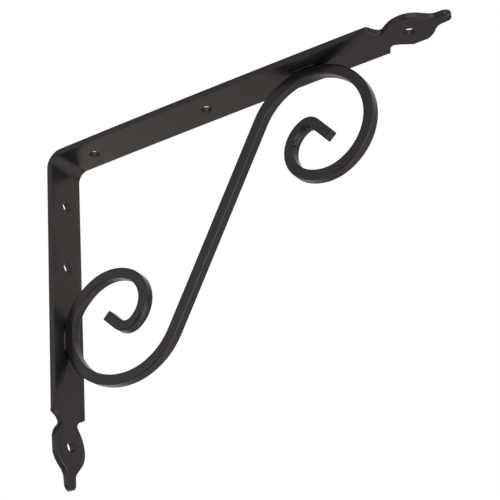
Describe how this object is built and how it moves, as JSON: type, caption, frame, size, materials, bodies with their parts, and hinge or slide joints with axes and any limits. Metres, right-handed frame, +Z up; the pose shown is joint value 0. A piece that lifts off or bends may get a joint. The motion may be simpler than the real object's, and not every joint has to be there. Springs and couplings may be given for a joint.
{
  "type": "wrought iron shelf bracket",
  "caption": "Black wrought iron shelf bracket: a flat bar bent square with a spearhead at each end, braced by a welded scroll of square bar.",
  "frame": {"origin": "on the wall face, on the middle of the bar's width, midway between the top and bottom screws of the wall leg", "axes": "+X out from the wall along the shelf leg, +Y across the bar's width, +Z up"},
  "size_m": [0.2918, 0.03, 0.2313],
  "materials": {
    "black_satin_coat": "black powder coat on mild steel, satin, with a very fine grain"
  },
  "bodies": {
    "root": {"strap": "black_satin_coat", "scroll": "black_satin_coat", "lower_weld_left": "black_satin_coat", "lower_weld_right": "black_satin_coat", "upper_weld_left": "black_satin_coat", "upper_weld_right": "black_satin_coat"}
  },
  "joints": []
}
